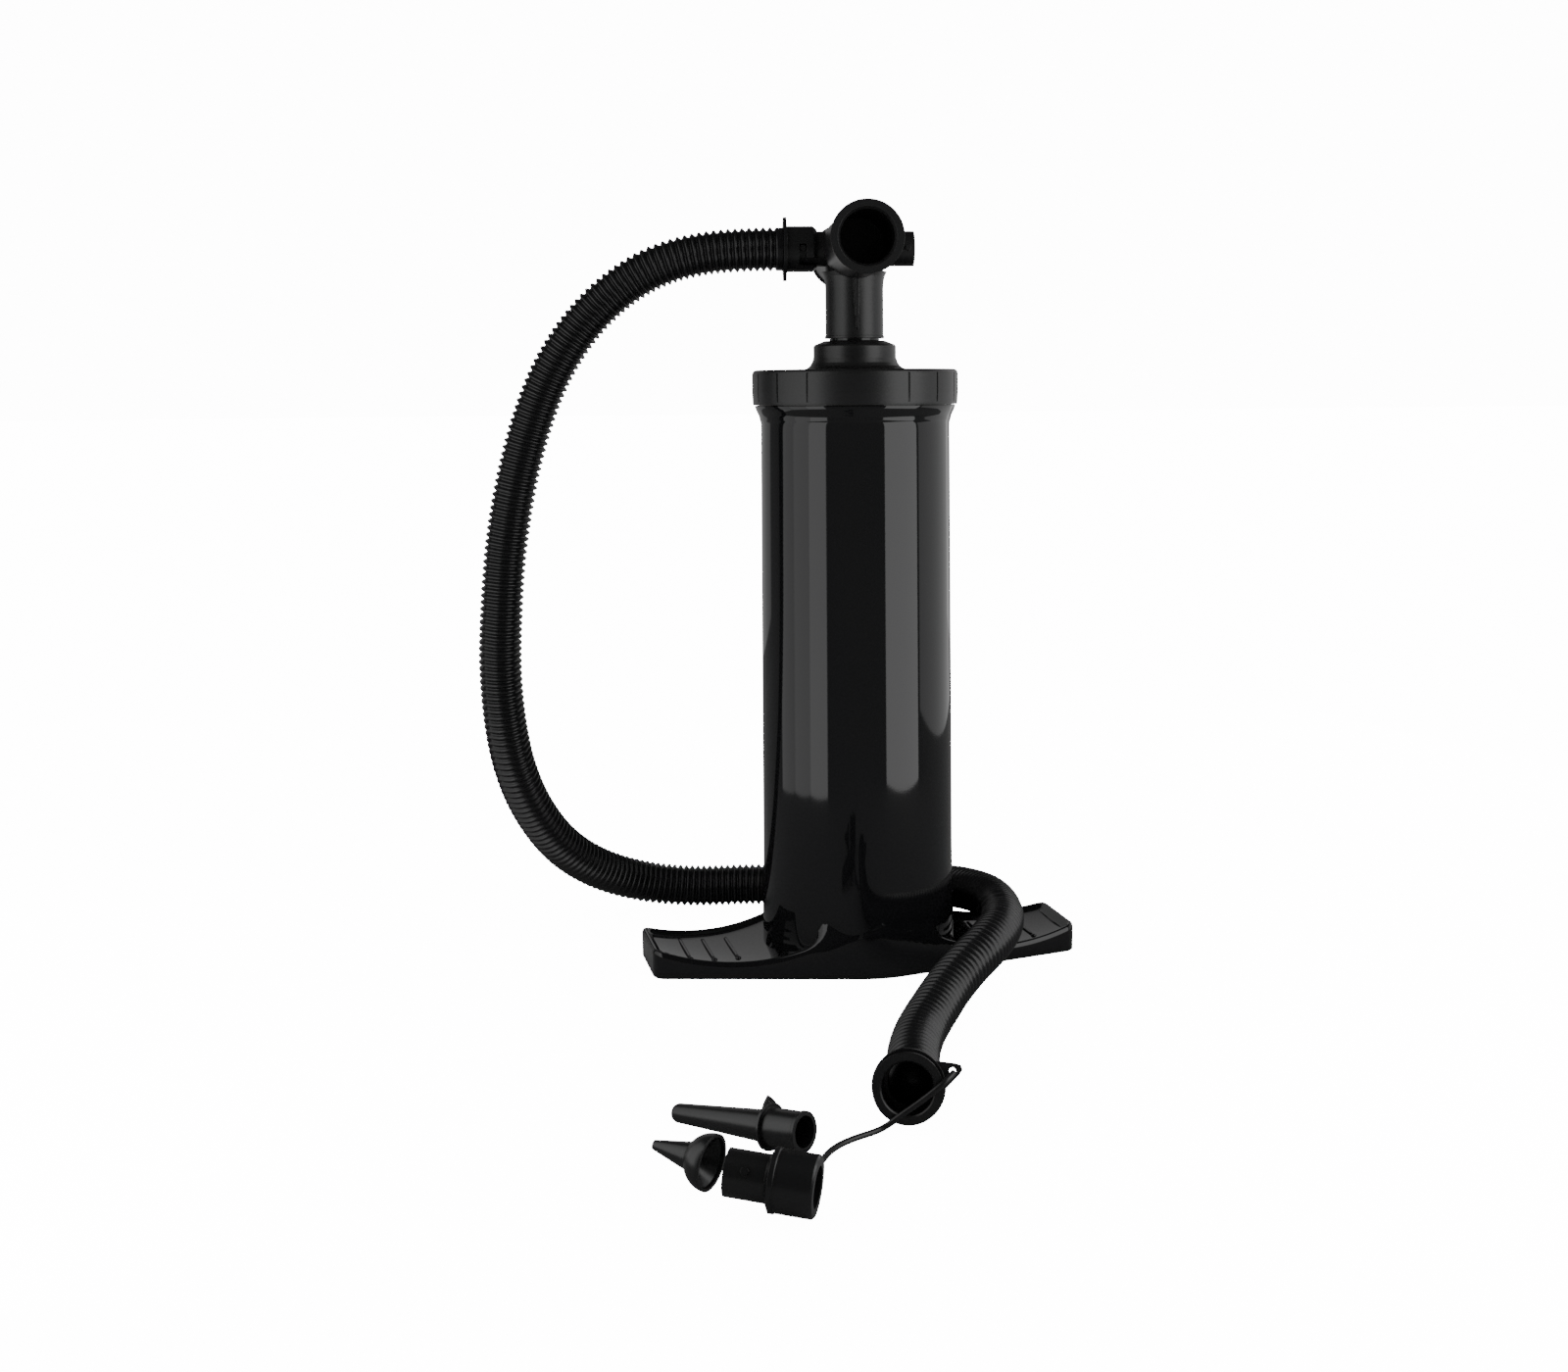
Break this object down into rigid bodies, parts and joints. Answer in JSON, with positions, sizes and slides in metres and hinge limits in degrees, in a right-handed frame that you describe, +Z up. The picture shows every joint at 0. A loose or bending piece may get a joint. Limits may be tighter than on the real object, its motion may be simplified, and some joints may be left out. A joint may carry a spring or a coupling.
{
  "type": "double action hand pump",
  "caption": "Upright black plastic air pump: round barrel on a two-tread foot, T handle with air ports, corrugated hose and loose push-on nozzles.",
  "frame": {"origin": "on the barrel axis at floor level, under the middle of the foot", "axes": "+Z up along the barrel, X along the two treads, -Y towards the user's front with the hose's free end"},
  "size_m": [0.3812, 0.5776, 0.485],
  "materials": {
    "barrel": "glossy black",
    "cover": "matte black",
    "screws": "zinc plated",
    "cap": "satin black",
    "seals": "matte",
    "bushes": "plain grey",
    "handle": "satin black",
    "rod": "smooth black",
    "piston": "plain grey",
    "cuffs": "semi-gloss black",
    "hose": "semi-gloss corrugated black",
    "tether": "satin black",
    "nozzles": "satin black"
  },
  "bodies": {
    "base": {"barrel_body": "barrel", "base_cover": "cover", "base_screws": "screws", "collar_cap": "cap", "top_cover": "cap", "cover_gasket": "seals", "rod_bush": "bushes", "rod_wiper": "seals", "hose": "hose", "end_hose_cuff": "cuffs", "tether": "tether", "wide_adapter": "nozzles", "dome_nozzle": "nozzles", "cone_nozzle": "nozzles"},
    "seal": {"piston_seal": "seals"},
    "handle": {"handle": "handle", "handle_screws": "screws", "rod_tube": "rod", "air_tube": "bushes", "piston_upper": "piston", "piston_lower": "piston", "piston_screws": "screws", "pump_hose_cuff": "cuffs"},
    "poppet_1": {"inlet_valve_lower": "seals"},
    "poppet_2": {"outlet_valve_lower": "seals"},
    "poppet_3": {"inlet_valve_upper": "seals"},
    "poppet_4": {"outlet_valve_upper": "seals"}
  },
  "joints": [
    {"name": "stroke", "type": "slide", "parent": "base", "child": "seal", "axis": [0, 0, 1], "range_m": [0, 0.29], "deforming": ["hose"]},
    {"name": "swivel", "type": "hinge", "parent": "seal", "child": "handle", "pos_m": [0, 0, 0], "axis": [0, 0, 1], "range_deg": [-35, 35], "deforming": ["hose"]},
    {"name": "inlet_lower_lift", "type": "slide", "parent": "handle", "child": "poppet_1", "axis": [0, 0, -1], "range_m": [0, 0.002]},
    {"name": "outlet_lower_lift", "type": "slide", "parent": "handle", "child": "poppet_2", "axis": [0, 0, 1], "range_m": [0, 0.002]},
    {"name": "inlet_upper_lift", "type": "slide", "parent": "handle", "child": "poppet_3", "axis": [0, 0, 1], "range_m": [0, 0.002]},
    {"name": "outlet_upper_lift", "type": "slide", "parent": "handle", "child": "poppet_4", "axis": [0, 0, -1], "range_m": [0, 0.002]}
  ]
}
